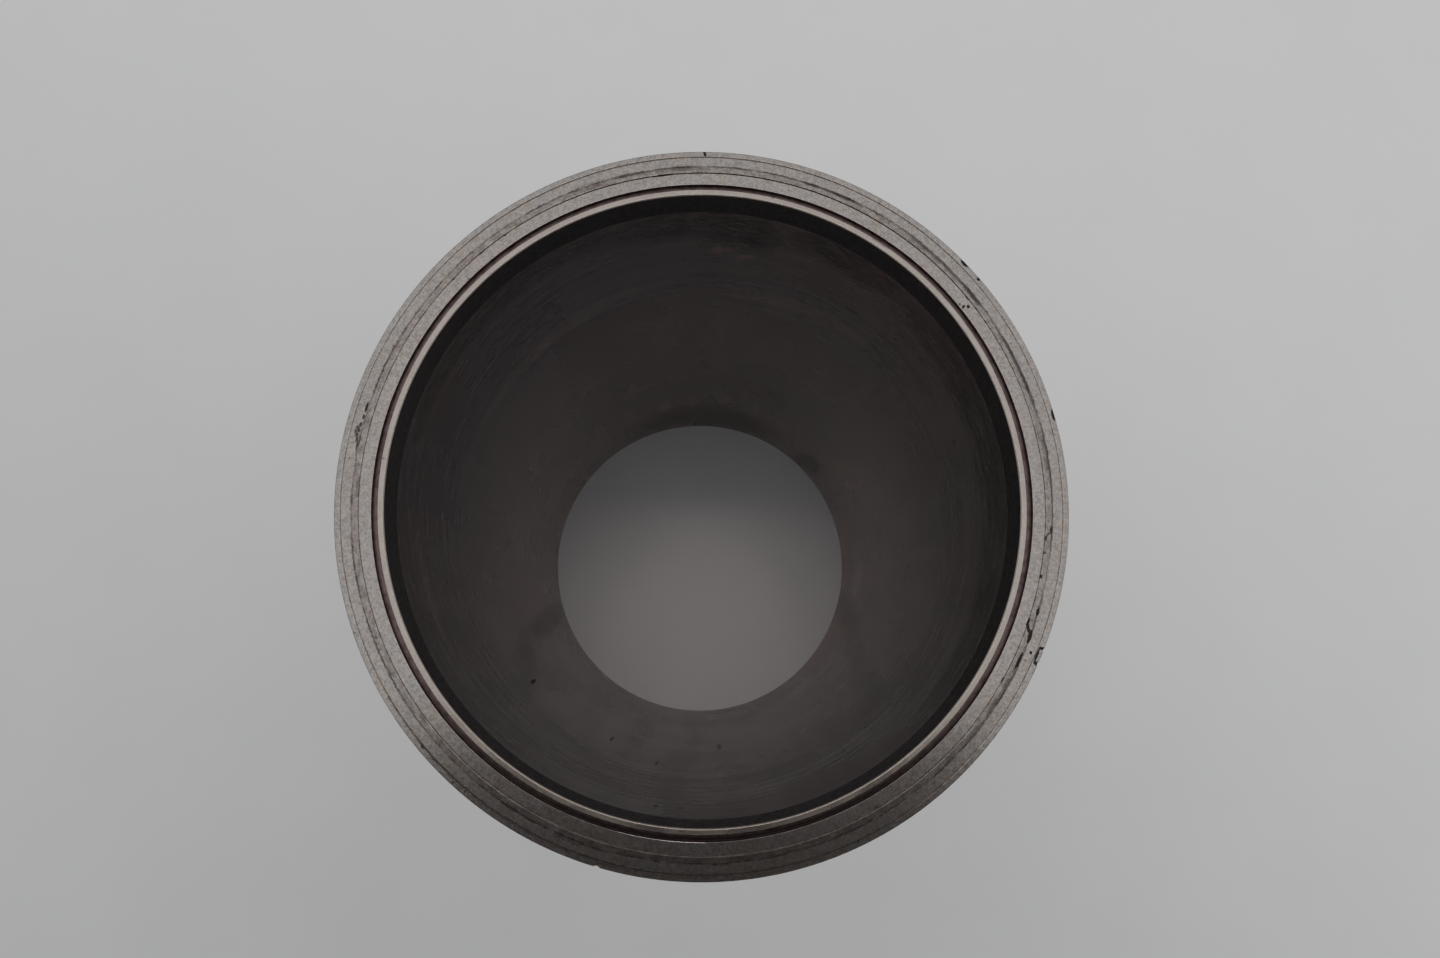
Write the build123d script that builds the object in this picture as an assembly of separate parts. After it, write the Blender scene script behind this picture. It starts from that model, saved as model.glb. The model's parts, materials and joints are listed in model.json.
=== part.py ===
from build123d import *
import os

# Wet cylinder liner of a heavy-duty diesel engine: one grey iron casting, turned all over.
# Millimetres. +Z runs up the bore towards the cylinder head. The origin is the centre of the
# bottom face. Every radius is reached from the bore outwards, and every height from the bottom
# face or the gasket face, so a change of one size carries the rest with it.

# Driving dimensions ------------------------------------------------------------------------

# Bore
BORE_D = 130.0
BORE_FOOT_CHAMFER = 1.0  # lead-in at the open bottom of the bore

# Overall height, bottom face to gasket face
LINER_HEIGHT = 256.0

# Water jacket wall, the plain length between the two fitting bands
JACKET_WALL = 6.0

# Upper fitting band, directly below the flange
UPPER_BAND_RISE = 1.8  # radial step out from the jacket wall
UPPER_BAND_HEIGHT = 20.0

# Flange that hangs the liner in the block
SEAT_WIDTH = 2.6  # radial width of the shoulder that sits on the block's ledge
FLANGE_HEIGHT = 10.0
FLANGE_TOP_EDGE = 0.3
FLANGE_FOOT_CHAMFER = 0.8

# Relief turned into the corner under the flange, so that the shoulder seats flat
UNDERCUT_HEIGHT = 2.0
UNDERCUT_DEPTH = 0.6
UNDERCUT_RUNOUT = 0.3  # chamfer at each end of the relief

# Fire lip that stands above the gasket face and clamps the gasket's fire ring
LIP_WALL = 1.27
LIP_RISE = 0.9
LIP_CHAMFER_WIDTH = 0.55  # radial, on the bore side
LIP_CHAMFER_DROP = 0.3

# Groove turned round the outside of the fire lip
FIRE_GROOVE_WIDTH = 1.51
FIRE_GROOVE_DEPTH = 1.0  # below the gasket face
FIRE_GROOVE_EDGE = 0.2

# Fine V-shaped lines turned into the gasket face, each by its distance in from the rim
LINE_INSETS = (1.30, 4.92)
LINE_WIDTH = 0.3
LINE_DEPTH = 0.12

# Lower fitting band with its seal-ring grooves
SEAL_BAND_RISE = 0.6  # radial step out from the jacket wall
SEAL_BAND_HEIGHT = 34.0
SEAL_GROOVE_COUNT = 2
SEAL_GROOVE_WIDTH = 4.6
SEAL_GROOVE_DEPTH = 2.6
SEAL_GROOVE_PITCH = 12.0
SEAL_GROOVE_ROOT = 0.4  # chamfer in each corner of the groove's root
SEAL_GROOVE_LAND = 8.0  # band left below the first groove

# Skirt below the seal band, turned to the jacket wall's size, which enters the block first
SKIRT_HEIGHT = 12.0
SKIRT_TAPER_WIDTH = 1.2
SKIRT_TAPER_HEIGHT = 4.0

# Height of the taper at the end of a band, where its step runs out
BAND_RUNOUT = 2.0

# Worked out from the above ----------------------------------------------------------------

BORE_R = BORE_D / 2
JACKET_R = BORE_R + JACKET_WALL
UPPER_BAND_R = JACKET_R + UPPER_BAND_RISE
FLANGE_R = UPPER_BAND_R + SEAT_WIDTH
SEAL_BAND_R = JACKET_R + SEAL_BAND_RISE
LIP_R = BORE_R + LIP_WALL
FIRE_GROOVE_R = LIP_R + FIRE_GROOVE_WIDTH

SEAT_Z = LINER_HEIGHT - FLANGE_HEIGHT
UPPER_BAND_Z = SEAT_Z - UPPER_BAND_HEIGHT
SEAL_BAND_TOP_Z = SKIRT_HEIGHT + SEAL_BAND_HEIGHT
LIP_TOP_Z = LINER_HEIGHT + LIP_RISE


def turn(*points):
    """The solid that a closed half section of (radius, height) points sweeps about the bore axis."""
    return revolve(Plane.XZ * make_face(Polyline(*points, close=True)), Axis.Z)


def turned_ring(inner_r, outer_r, low_z, high_z):
    """A plain ring with a rectangular section."""
    return turn((inner_r, low_z), (outer_r, low_z), (outer_r, high_z), (inner_r, high_z))


def rim(solid, radius, height):
    """The circular edge of the solid nearest to one radius and height."""
    circles = solid.edges().filter_by(GeomType.CIRCLE)
    return min(circles, key=lambda edge: abs(edge.radius - radius) + abs(edge.center().Z - height))


def blank():
    """The stepped body: skirt, seal band, jacket wall, upper band, flange and fire lip."""
    return turn(
        (BORE_R, 0),
        (JACKET_R - SKIRT_TAPER_WIDTH, 0),
        (JACKET_R, SKIRT_TAPER_HEIGHT),
        (JACKET_R, SKIRT_HEIGHT - BAND_RUNOUT),
        (SEAL_BAND_R, SKIRT_HEIGHT),
        (SEAL_BAND_R, SEAL_BAND_TOP_Z),
        (JACKET_R, SEAL_BAND_TOP_Z + BAND_RUNOUT),
        (JACKET_R, UPPER_BAND_Z - BAND_RUNOUT),
        (UPPER_BAND_R, UPPER_BAND_Z),
        (UPPER_BAND_R, SEAT_Z),
        (FLANGE_R, SEAT_Z),
        (FLANGE_R, LINER_HEIGHT),
        (LIP_R, LINER_HEIGHT),
        (LIP_R, LIP_TOP_Z),
        (BORE_R + LIP_CHAMFER_WIDTH, LIP_TOP_Z),
        (BORE_R, LIP_TOP_Z - LIP_CHAMFER_DROP),
    )


def outside_groove(surface_r, depth, low_z, high_z, root_chamfer):
    """A ring that cuts a groove into the outside, with both corners of its root chamfered."""
    root_r = surface_r - depth
    ring = turned_ring(root_r, FLANGE_R, low_z, high_z)
    return chamfer([rim(ring, root_r, low_z), rim(ring, root_r, high_z)], root_chamfer)


def undercut():
    """The relief in the corner under the flange."""
    low_z = SEAT_Z - UNDERCUT_HEIGHT
    return outside_groove(UPPER_BAND_R, UNDERCUT_DEPTH, low_z, SEAT_Z, UNDERCUT_RUNOUT)


def seal_groove(low_z):
    """One seal-ring groove in the lower band."""
    high_z = low_z + SEAL_GROOVE_WIDTH
    return outside_groove(SEAL_BAND_R, SEAL_GROOVE_DEPTH, low_z, high_z, SEAL_GROOVE_ROOT)


def fire_groove():
    """The groove between the fire lip and the gasket face."""
    return turned_ring(LIP_R, FIRE_GROOVE_R, LINER_HEIGHT - FIRE_GROOVE_DEPTH, LIP_TOP_Z)


def face_line(inset):
    """One V-shaped line in the gasket face, at its distance in from the rim."""
    middle_r = FLANGE_R - inset
    flank = LINE_WIDTH / 2
    return turn(
        (middle_r - flank, LINER_HEIGHT),
        (middle_r, LINER_HEIGHT - LINE_DEPTH),
        (middle_r + flank, LINER_HEIGHT),
    )


def break_edges(solid):
    """Chamfer the edges that the turning leaves sharp."""
    solid = chamfer(rim(solid, BORE_R, 0), BORE_FOOT_CHAMFER)
    solid = chamfer(rim(solid, FLANGE_R, LINER_HEIGHT), FLANGE_TOP_EDGE)
    solid = chamfer(rim(solid, FLANGE_R, SEAT_Z), FLANGE_FOOT_CHAMFER)
    return chamfer(rim(solid, FIRE_GROOVE_R, LINER_HEIGHT), FIRE_GROOVE_EDGE)


def liner():
    """The finished liner."""
    solid = blank() - fire_groove() - undercut()
    for step in range(SEAL_GROOVE_COUNT):
        solid -= seal_groove(SKIRT_HEIGHT + SEAL_GROOVE_LAND + step * SEAL_GROOVE_PITCH)
    for inset in LINE_INSETS:
        solid -= face_line(inset)
    return break_edges(solid)


os.makedirs("parts", exist_ok=True)
export_step(liner(), "parts/liner.step")
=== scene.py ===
"""Cylinder liner: a turned and honed iron sleeve, its surface finishes and a plain studio."""

import json
import math

import bpy
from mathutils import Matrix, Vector


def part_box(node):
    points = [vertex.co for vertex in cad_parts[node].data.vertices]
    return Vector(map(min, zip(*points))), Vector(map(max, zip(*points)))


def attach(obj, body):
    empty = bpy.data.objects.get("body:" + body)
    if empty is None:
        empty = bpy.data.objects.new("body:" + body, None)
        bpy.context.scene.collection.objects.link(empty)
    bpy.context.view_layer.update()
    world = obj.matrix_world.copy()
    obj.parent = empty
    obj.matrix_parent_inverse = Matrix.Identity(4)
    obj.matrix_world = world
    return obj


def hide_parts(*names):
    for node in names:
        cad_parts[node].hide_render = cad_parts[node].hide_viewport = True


bl_info = {
    "name": "Cylinder Liner",
    "version": (1, 0, 0),
    "blender": (4, 5, 0),
    "location": "3D View > Sidebar > Liner",
    "description": "Builds a flanged wet cylinder liner with its worn iron finishes, and a studio for it",
    "category": "Add Mesh",
}

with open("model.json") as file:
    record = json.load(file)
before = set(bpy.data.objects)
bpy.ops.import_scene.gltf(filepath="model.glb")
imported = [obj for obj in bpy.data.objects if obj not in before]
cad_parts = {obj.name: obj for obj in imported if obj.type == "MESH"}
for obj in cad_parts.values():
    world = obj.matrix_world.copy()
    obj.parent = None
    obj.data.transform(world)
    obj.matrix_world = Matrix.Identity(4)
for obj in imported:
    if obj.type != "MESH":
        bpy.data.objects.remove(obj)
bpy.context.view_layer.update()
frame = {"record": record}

# Sizes that the frame gives ---------------------------------

MM = 0.001
NODE = "liner"
BODY = "root"
MOUNTS = {mount["name"]: mount for mount in frame["record"]["mounts"]}


def mount_radius(name):
    """Radius of a round mount in metres."""
    return MOUNTS[name]["dims"]["r_mm"] * MM


def mount_span(name):
    """Lowest and highest point of a round mount's wall in metres."""
    middle = MOUNTS[name]["pos_m"][2]
    half = MOUNTS[name]["dims"]["length_mm"] * MM / 2
    return middle - half, middle + half


FLANGE_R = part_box(NODE)[1].x
BORE_R = mount_radius("bore")
UPPER_BAND_R = mount_radius("upper_band")
SEAL_BAND_R = mount_radius("seal_band")
GASKET_Z = MOUNTS["gasket_face"]["pos_m"][2]
LIP_Z = MOUNTS["fire_lip_top"]["pos_m"][2]
SEAT_Z = MOUNTS["flange_seat"]["pos_m"][2]
UPPER_BAND_Z, UNDERCUT_Z = mount_span("upper_band")
SEAL_BAND_Z, SEAL_BAND_TOP_Z = mount_span("seal_band")

# Marks ------------------------------------------------------

# Lengths here are in millimetres and angles in degrees.

# Marks on the gasket face. Each has its angle, its radius, half its length round the ring, half its
# width, its tilt and its strength.
FACE_MARKS = [
    (13.7, 75.08, 1.15, 0.36, 0, 1),
    (39, 75, 0.36, 0.34, 0, 1),
    (42.5, 75.08, 0.95, 0.38, 0, 1),
    (90.1, 74.92, 0.28, 0.6, 18, 1),
    (221.7, 74.35, 0.42, 0.18, 0, 0.8),
    (224.3, 74.35, 0.22, 0.18, 0, 0.8),
    (228.8, 74.85, 0.24, 0.22, 0, 0.8),
    (231.1, 74.6, 0.18, 0.38, 0, 0.8),
    (294.1, 74.3, 0.3, 0.2, 0, 0.6),
    (333.5, 74.86, 0.32, 0.52, -12, 1),
    (336, 74.86, 0.3, 0.52, 12, 1),
    (334.8, 74.42, 1.35, 0.22, 0, 1),
    (334.7, 73.1, 0.3, 0.28, 0, 1),
    (333.2, 72.75, 0.24, 0.22, 0, 0.6),
    (332.7, 71.6, 1.7, 0.3, 0, 1),
    (337, 71.72, 1.35, 0.38, 4, 1),
    (338.1, 70.92, 0.95, 0.26, 26, 1),
    (339.1, 70.44, 0.95, 0.24, -4, 1),
    (341.2, 71.7, 0.75, 0.3, 0, 1),
    (342.8, 72.2, 0.4, 0.18, 0, 0.45),
    (347, 70.7, 0.36, 0.28, 0, 0.95),
    (351, 70.7, 0.28, 0.24, 0, 0.75),
    (353.5, 70.68, 0.52, 0.22, 0, 0.9),
    (354.9, 71.7, 0.75, 0.26, 0, 0.9),
    (354.2, 71.2, 0.8, 0.18, -38, 0.7),
    (165, 72.2, 0.98, 0.26, 0, 0.95),
    (166.6, 72.2, 0.48, 0.24, 0, 0.9),
    (168, 72.35, 0.5, 0.22, 0, 0.8),
    (168.5, 72.8, 0.34, 0.3, 0, 0.75),
    (169.2, 73, 0.34, 0.24, 0, 0.7),
    (168.9, 72.45, 0.42, 0.24, 0, 0.85),
    (169.7, 72.6, 0.42, 0.26, 0, 0.8),
    (170.4, 72.4, 0.5, 0.26, 0, 0.8),
    (171.5, 72.12, 1.1, 0.17, 0, 0.85),
    (173.6, 73.15, 0.22, 0.2, 0, 0.6),
    (153.9, 72.15, 0.3, 0.2, 0, 0.6),
    (36.35, 69.4, 0.32, 0.3, 0, 1),
    (36.85, 68.55, 0.26, 0.42, 20, 0.95),
    (37.6, 68.25, 0.22, 0.22, 0, 0.7),
    (37.7, 70.42, 0.5, 0.18, 0, 0.8),
    (32.5, 70.45, 0.36, 0.18, 0, 0.7),
    (97.5, 70.42, 1.95, 0.2, 0, 0.95),
    (127.1, 70.4, 0.34, 0.22, 0, 0.85),
    (132.3, 70.42, 0.48, 0.18, 0, 0.75),
    (138.8, 70.4, 0.55, 0.18, 0, 0.75),
    (137, 68.05, 0.2, 0.2, 0, 0.6),
    (299.1, 70.2, 0.5, 0.18, 0, 0.8),
    (328.6, 70.4, 0.6, 0.22, 0, 0.7),
    (241.9, 72.05, 1.2, 0.22, 0, 0.55),
    (248.6, 72.2, 3.2, 0.52, 0, 0.6),
    (253.1, 72.05, 1.35, 0.24, 0, 0.75),
    (272.4, 72.1, 1.6, 0.26, 0, 0.7),
    (203.2, 71.35, 0.3, 0.18, 0, 0.5),
    (201.3, 75, 0.24, 0.2, 0, 0.55),
]

# Soft smears of dirt along the outer edge of the gasket's print, in the same order.
FACE_SMEARS = [
    (6.5, 71.6, 5.2, 0.52, 0, 0.3),
    (23, 71.68, 9, 0.3, 0, 0.75),
    (37.6, 71.62, 3.2, 0.42, 0, 0.8),
    (45.5, 71.62, 7.5, 0.3, 0, 0.6),
    (66, 71.78, 3.8, 0.34, 0, 0.75),
    (71.3, 71.8, 1.9, 0.34, 0, 0.65),
    (94.5, 71.6, 5.2, 0.52, 0, 0.36),
    (103.5, 71.72, 4, 0.4, 0, 0.45),
    (110, 71.6, 4, 0.7, 0, 0.3),
    (178.5, 70.7, 2.2, 0.35, 0, 0.35),
    (238, 71.95, 2.6, 0.32, 0, 0.6),
    (169, 72.55, 1.5, 0.6, 0, 0.4),
    (313, 71.6, 1.3, 0.45, 0, 0.45),
    (318.9, 71.65, 2.6, 0.5, 0, 0.5),
    (326, 71.6, 5.5, 0.4, 0, 0.45),
]

# Stretches of caked dirt in the two turned lines, in the same order.
OUTER_LINE_DIRT = [(262, 74.15, 60, 0.3, 0, 0.8)]
INNER_LINE_DIRT = [(74, 70.48, 56, 0.14, 0, 0.8), (268, 70.48, 50, 0.2, 0, 0.45)]

# The length of the fire groove's outer edge that is wiped clean and carries a painted highlight, in the same
# order.
WIPED_EDGE_HIGHLIGHT = [(262.6, 67.9, 6.6, 3, 0, 0.35), (266.6, 67.9, 3.6, 3, 0, 0.85)]

# Marks on the fire lip, in the same order.
LIP_MARKS = [
    (173.1, 66, 0.22, 0.18, 0, 0.55),
    (55.7, 66.1, 1.9, 0.22, 0, 0.4),
    (77.4, 66.15, 0.2, 0.15, 0, 0.45),
]

# Dark smudges on the running surface, and painted shadows low down, in the same order, but with the height
# in place of the radius.
WALL_SMUDGES_AND_SHADOWS = [
    (16, 240, 34, 9, 0, 0.85),
    (60, 242, 13, 7, 0, 0.95),
    (84, 240, 10, 11, 0, 0.95),
    (99, 241, 9, 8, 0, 0.9),
    (134, 243, 30, 5, 0, 0.7),
    (338, 239, 24, 8, 12, 0.8),
    (296, 222.7, 12, 2.6, 8, 0.45),
    # Painted shadows: two soft dark patches low on the far side.
    (87, 24, 27, 20, 0, 0.5),
    (43, 22, 5.5, 19, -10, 0.45),
    # Painted shadow: the edges of a soft dark arch on the near side.
    (202.5, 62, 4, 60, 5.5, 0.5),
    (214.5, 150, 4.5, 42, 13.6, 0.4),
    (236, 193, 19, 4.5, -25, 0.3),
    (281, 200, 36, 5, 0, 0.28),
    (318.5, 156, 5, 42, -10, 0.32),
    (335, 62, 5.5, 56, -12, 0.32),
]

# Dark specks on the running surface, as the smudges.
WALL_SPECKS = [
    (220.8, 161, 0.45, 5, 3, 0.7),
    (259, 175, 0.35, 4, -3, 0.4),
    (246, 157, 0.35, 4.5, 0, 0.45),
    (275, 132, 0.5, 6, 0, 0.3),
    (261, 237.6, 0.5, 1.2, 0, 0.35),
    (265.6, 236.5, 0.5, 0.9, 0, 0.25),
    (94.5, 218, 0.6, 1, 0, 0.1),
    (55, 215, 2.2, 0.9, 0, 0.18),
    (17, 216.5, 0.6, 1, 0, 0.18),
    (43, 220, 0.8, 0.8, 0, 0.12),
    (73, 213, 0.6, 0.8, 0, 0.12),
    (36, 224, 0.45, 0.8, 0, 0.12),
    (23, 236, 1.8, 2.2, 0, 0.12),
]

# Pale warm streaks on the running surface, as the smudges.
WALL_GLEAMS = [
    (87, 225.6, 1.3, 2, 0, 1),
    (84.8, 226.2, 1.1, 1.3, 0, 0.9),
    (81, 222.7, 2.4, 1.1, 35, 0.9),
    (196, 231, 14, 2.6, 6, 0.7),
    (133, 196.5, 32, 4, 10, 0.4),
    (67, 196.5, 19, 4, 10, 0.32),
    (22, 92, 9, 50, -22, 0.25),
    (352, 50, 6, 10, 0, 0.35),
    (70, 55, 1.6, 11, 0, 0.35),
    (81, 58, 2.4, 12, 0, 0.4),
    (93, 54, 1.8, 10, 0, 0.35),
    (104, 57, 2.4, 13, 0, 0.38),
    (117, 58, 2, 11, 0, 0.32),
]

# Cooler, bluer patches of the running surface, as the smudges.
WALL_COOL = [
    (140, 214, 70, 26, -8, 0.85),
    (118, 236, 40, 9, 0, 0.7),
    (52, 196, 12, 20, 0, 0.35),
]

# Chips in the rim, each with its angle, half its length and its depth.
RIM_CHIPS = [
    (253.9, 0.6, 0.24),
    (333.6, 0.45, 0.14),
    (335.9, 0.45, 0.14),
]

# How steeply a chip's depth rises from its ends, and how far its floor drops for its depth.
CHIP_SHARPNESS = 0.7
CHIP_DROP = 0.8

# Runs of the section that meet at less than this angle, in radians, have no corner between them.
# A corner is worn over no more than this share of either run.
STRAIGHT_ANGLE = 0.001
SOFT_SHARE = 0.3

# Look of the iron -------------------------------------------

# The reach of most noise, and a narrower one for a stronger contrast.
NOISE_LOW, NOISE_HIGH = 0.3, 0.7
STRONG_NOISE = (0.34, 0.66)

# A mark ends where the squared distance from its middle, in halves of its size, reaches this value,
# give or take half the rag.
MARK_EDGE = 1.25
MARK_RAG = 2.4

# Fineness of the cast grain, for each millimetre, and the share of the finer one.
GRAIN_FINE, GRAIN_COARSE = 2.4, 0.95
GRAIN_FINE_SHARE = 0.65

# The gasket's print reaches out from the inner turned line. Its width, the rag and the drift of its
# outer edge, and how far beyond that edge its dirt lies, in millimetres.
PRINT_WIDTH = 1.3
PRINT_RAG = 0.7
PRINT_DRIFT = 0.6
PRINT_DIRT_GAP = 0.08

# Half the width of the dirt in each turned line, in millimetres, and its greatest strength.
OUTER_LINE_HALF, OUTER_LINE_SHARE = 0.11, 0.50
INNER_LINE_HALF, INNER_LINE_SHARE = 0.10, 0.62

# Soot on the fire lip: where it starts and ends, in millimetres out from the bore, and its strength.
CREEP_START, CREEP_END = 0.08, 0.55
CREEP_STRENGTH = 0.50

# Painted shade in the fire groove, dark against its outer wall: where it starts and ends, in millimetres out
# from the lip, its strength, and the places across the liner between which it fades out.
GROOVE_SHADE_START, GROOVE_SHADE_END = 0.5, 1.2
GROOVE_SHADE_STRENGTH = 0.65
GROOVE_SHADE_FADE = (-60, -20)

# Heights in the bore, in millimetres, between which its look changes: its painted glow at the foot, its
# painted light low down, on the far side and on the flanks, its painted shade at the top, and where its
# streaks and strokes start.
FOOT_GLOW = (4, 14)
LOW_LIFT = (2, 90)
FAR_LIFT = (40, 200)
FLANK_LIFT = (60, 210)
TOP_FADE = (120, 246)
STREAKS_START = (165, 205)
STROKES_START = (205, 225)

# Places across the bore, in millimetres, between which its painted light and shade change.
NEAR_TO_FAR = (-60, 40)
MIDDLE_TO_FLANK = (20, 62)

# Lowest and highest roughness of each finish.
FACE_ROUGHNESS = (0.245, 0.26)
LIP_ROUGHNESS = (0.24, 0.30)
GROOVE_ROUGHNESS = 0.30
CARBON_ROUGHNESS = (0.42, 0.6)
BORE_ROUGHNESS = (0.25, 0.28)
OUTSIDE_ROUGHNESS = (0.34, 0.44)

# A film of oil keeps the bore from being a full metal.
BORE_METALLIC = 0.78

# Studio sizes in metres -------------------------------------

FLOOR_HALF = 4.0
# Painted light on the floor: paler towards one side, darker towards the other.
FLOOR_LIGHT_SLOPE = (0.6, 0.8, 0.0)  # direction in which the floor grows paler
FLOOR_LIGHT_REACH = 0.35

# The bore's lamps stand in a row above it, beyond its far side.
BORE_LAMPS_X = (-0.10, 0.0, 0.10)
BORE_LAMPS_Y = 0.175
BORE_LAMPS_Z = 1.2
BORE_LAMP_RADIUS = 0.045
BEAM_SHARE = 0.96  # of the bore's radius
BEAM_SOFTNESS = 0.25

# Directions between which the even light changes, by their Y and by their Z on a unit sphere.
FAR_LIGHT = (0.50, 0.80)
ZENITH_LIGHT = (0.965, 0.992)

# The card widens away from the camera. Its sides would meet at the apex.
CARD_RISE = 0.204  # above the gasket face
CARD_APEX_Y = 0.025
CARD_NEAR_Y = -0.056
CARD_FAR_Y = -0.60
CARD_SPREAD = 1.17  # half its width for each metre from the apex

CAMERA_X = -0.00147
CAMERA_Y = -0.0247
CAMERA_TURN = (0.1400, -0.0228, 0.0)  # in radians about X, Y and Z
SENSOR_WIDTH = 36.0  # in millimetres
NEAREST_VIEW = 0.01

# Settings ---------------------------------------------------


def length(name, description, default_mm):
    """A length property, given in millimetres and held in metres."""
    return bpy.props.FloatProperty(
        name=name, description=description, default=default_mm * MM, unit="LENGTH", precision=5
    )


def colour(name, description, default):
    """A linear colour property."""
    return bpy.props.FloatVectorProperty(
        name=name, description=description, default=default, subtype="COLOR", size=3, min=0, max=1
    )


def amount(name, description, default):
    """An amount that is never below 0."""
    return bpy.props.FloatProperty(name=name, description=description, default=default, min=0)


class LinerSizes(bpy.types.PropertyGroup):
    """Small sizes of the liner that the frame does not state as mounts."""

    jacket_wall: length("Jacket wall", "Wall between the two fitting bands", 6.0)
    runout: length("Run-out", "Height of the taper at the end of a band", 2.0)
    foot_chamfer: length("Bore foot chamfer", "Lead-in at the bottom of the bore", 1.0)
    skirt_taper_width: length("Skirt taper width", "Radial depth of the lead-in on the skirt", 1.2)
    skirt_taper_height: length("Skirt taper height", "Height of the lead-in on the skirt", 4.0)
    lip_wall: length("Lip wall", "Radial thickness of the fire lip", 1.27)
    lip_chamfer_width: length("Lip chamfer width", "Radial width of the chamfer on the lip", 0.30)
    lip_chamfer_drop: length("Lip chamfer drop", "Height of the chamfer on the lip", 0.16)
    groove_width: length("Fire groove width", "Width of the groove outside the lip", 1.51)
    groove_depth: length("Fire groove depth", "Depth of the groove below the gasket face", 1.0)
    groove_edge: length("Fire groove edge", "Chamfer on the outer edge of the fire groove", 0.1)
    rim_edge: length("Rim edge", "Chamfer on the top edge of the flange", 0.16)
    flange_foot: length("Flange foot", "Chamfer on the lower edge of the flange", 0.8)
    undercut_depth: length("Undercut depth", "Depth of the relief under the flange", 0.6)
    undercut_runout: length("Undercut run-out", "Chamfer at each end of the relief", 0.3)
    inner_line: length("Inner line inset", "Distance of the inner turned line from the rim", 4.92)
    outer_line: length("Outer line inset", "Distance of the outer turned line from the rim", 1.30)
    line_width: length("Line width", "Width of a turned line", 0.3)
    line_depth: length("Line depth", "Depth of a turned line", 0.12)
    seal_groove_land: length("Seal groove land", "Band left below the first seal groove", 8.0)
    seal_groove_width: length("Seal groove width", "Height of a seal-ring groove", 4.6)
    seal_groove_depth: length("Seal groove depth", "Depth of a seal-ring groove", 2.6)
    seal_groove_pitch: length("Seal groove pitch", "Distance between the seal-ring grooves", 12.0)
    seal_groove_root: length("Seal groove root", "Chamfer in the root of a seal groove", 0.4)
    lip_softness: length("Lip softness", "Radius that the gasket has worn on the lip's corner", 0.10)
    edge_softness: length("Edge softness", "Radius that handling has worn on turned edges", 0.06)
    carbon_band: length("Carbon band", "Depth of the sooted band below the gasket face", 7.9)
    wall_step: length("Wall step", "Longest height of one face on the plain walls", 26.0)
    spin_step: length("Spin step", "Length of one face round the rim", 1.0)
    chip_step: length("Chip step", "Length of one face round the rim inside a chip", 0.16)
    chip_reach: length("Chip reach", "Distance from the rim's edge over which a chip fades out", 1.0)


class LinerFinish(bpy.types.PropertyGroup):
    """Colours of the liner's surfaces."""

    gasket_face: colour("Gasket face", "Turned top face of the flange", (0.280, 0.247, 0.223))
    gasket_face_cool: colour("Gasket face, cool", "Cooler patches of the top face", (0.262, 0.245, 0.234))
    # Painted highlight: paler than bare iron, so that the wiped edge of the fire groove shines.
    wiped_edge_highlight: colour("Wiped edge", "Bright metal on the groove's edge", (0.95, 0.90, 0.85))
    gasket_print: colour("Gasket print", "Stained print that the gasket leaves", (0.140, 0.118, 0.110))
    grime: colour("Grime", "Dark dirt in lines, pits and stains", (0.022, 0.017, 0.016))
    fire_lip: colour("Fire lip", "Narrow raised lip round the bore", (0.325, 0.285, 0.254))
    groove_soot: colour("Groove soot", "Burnt deposit in the fire groove", (0.110, 0.083, 0.081))
    groove_crust: colour("Groove crust", "Darker crust in the fire groove", (0.066, 0.048, 0.045))
    carbon: colour("Carbon", "Soot band at the top of the bore", (0.013, 0.012, 0.012))
    carbon_crust: colour("Carbon crust", "Paler flakes in the soot band", (0.020, 0.018, 0.018))
    bore: colour("Bore", "Honed running surface", (0.146, 0.121, 0.106))
    bore_cool: colour("Bore, cool", "Cooler streaks down the running surface", (0.125, 0.111, 0.106))
    bore_steel: colour("Bore, steely", "Bluish patches high on the running surface", (0.104, 0.098, 0.118))
    bore_varnish: colour("Bore varnish", "Warm oil varnish round the running surface", (0.170, 0.114, 0.094))
    bore_gleam: colour("Bore gleam", "Pale warm streaks on the running surface", (0.250, 0.190, 0.165))
    outside: colour("Outside", "Turned iron below the gasket face", (0.215, 0.200, 0.190))
    jacket_stain: colour("Jacket stain", "Dull tone that coolant leaves on the wall", (0.165, 0.148, 0.136))


class StageSettings(bpy.types.PropertyGroup):
    """The studio round the liner."""

    floor: colour("Floor", "Pale floor and backdrop", (0.830, 0.835, 0.850))
    sky_level: amount("Sky level", "Level of the even light from all round", 1.0)
    far_level: amount("Far side level", "Level of the light from low on the far side", 0.22)
    bore_lamp: amount("Bore lamps", "Power of all the spots down the bore, in watts", 4.8)
    bore_lamp_tint: colour("Bore lamp tint", "Colour of the spots down the bore", (1.0, 0.82, 0.82))
    zenith_glow: amount("Zenith glow", "Added level of the light from straight above", 1.0)
    card: colour("Card", "Dark grey card beside the camera", (0.145, 0.145, 0.145))
    camera_height: length("Camera height", "Height of the camera above the gasket face", 203.8)
    focal_length: bpy.props.FloatProperty(
        name="Focal length", description="Camera focal length in millimetres", default=25.0, unit="CAMERA"
    )


def sizes():
    """The liner's sizes in the open scene."""
    return bpy.context.scene.liner_sizes


def finish():
    """The liner's colours in the open scene."""
    return bpy.context.scene.liner_finish


def stage():
    """The studio's settings in the open scene."""
    return bpy.context.scene.liner_stage


# Node helpers -----------------------------------------------


def fill(tree, socket, value):
    """Link a socket to another, or set it to a plain value."""
    if isinstance(value, bpy.types.NodeSocket):
        tree.links.new(value, socket)
    elif hasattr(socket.default_value, "__len__") and hasattr(value, "__len__"):
        padded = tuple(value) + (1.0,) * (len(socket.default_value) - len(value))
        socket.default_value = padded
    else:
        socket.default_value = value


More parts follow.
